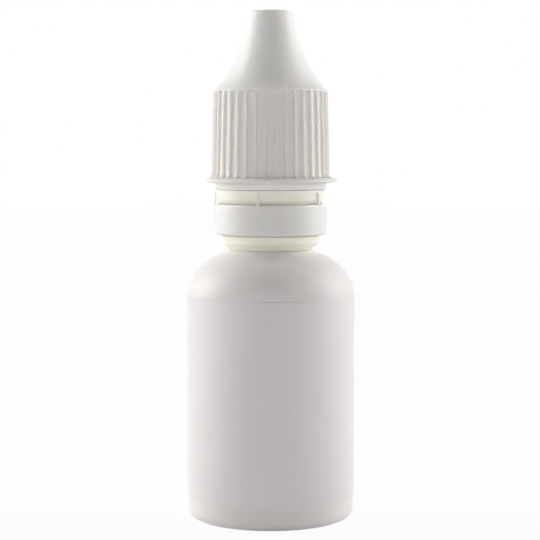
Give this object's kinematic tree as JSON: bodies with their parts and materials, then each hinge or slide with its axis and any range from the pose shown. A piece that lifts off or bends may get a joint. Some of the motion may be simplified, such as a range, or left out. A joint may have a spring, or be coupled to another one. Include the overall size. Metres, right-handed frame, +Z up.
{
  "type": "eye drop bottle",
  "caption": "White squeeze bottle with a wrap label, a cream neck collar, a tamper ring, a dropper tip and a ribbed screw cap with a flared nose.",
  "frame": {"origin": "middle of the foot, on the surface that the bottle stands on", "axes": "+Z up along the axis of the bottle and of the cap's screw, -Y towards the front, away from the label's seam"},
  "size_m": [0.0272, 0.0271, 0.0816],
  "materials": {
    "white_polythene": "satin",
    "natural_polythene": "satin",
    "white_polypropylene": "semi-gloss",
    "label_film": "satin",
    "soft_elastomer": "matt"
  },
  "bodies": {
    "bottle_assembly": {"bottle": "white_polythene", "label": "label_film", "neck_collar": "natural_polythene", "neck_seal": "soft_elastomer", "dropper_tip": "natural_polythene"},
    "ring": {"tamper_ring": "white_polypropylene"},
    "cap_carrier": {"cap_seal": "soft_elastomer"},
    "cap": {"screw_cap": "white_polypropylene"}
  },
  "joints": [
    {"name": "ring_turn", "type": "hinge", "parent": "bottle_assembly", "child": "ring", "pos_m": [0, 0, 0.0459], "axis": [0, 0, 1], "continuous": true},
    {"name": "cap_lift", "type": "slide", "parent": "bottle_assembly", "child": "cap_carrier", "axis": [0, 0, 1], "range_m": [0, 0.027]},
    {"name": "cap_turn", "type": "hinge", "parent": "cap_carrier", "child": "cap", "pos_m": [0, 0, 0.05315], "axis": [0, 0, 1], "range_deg": [0, 3240]}
  ],
  "couplings": [
    {"joint": "cap_lift", "follows": "cap_turn", "m_per_rad": 0.00047746}
  ]
}
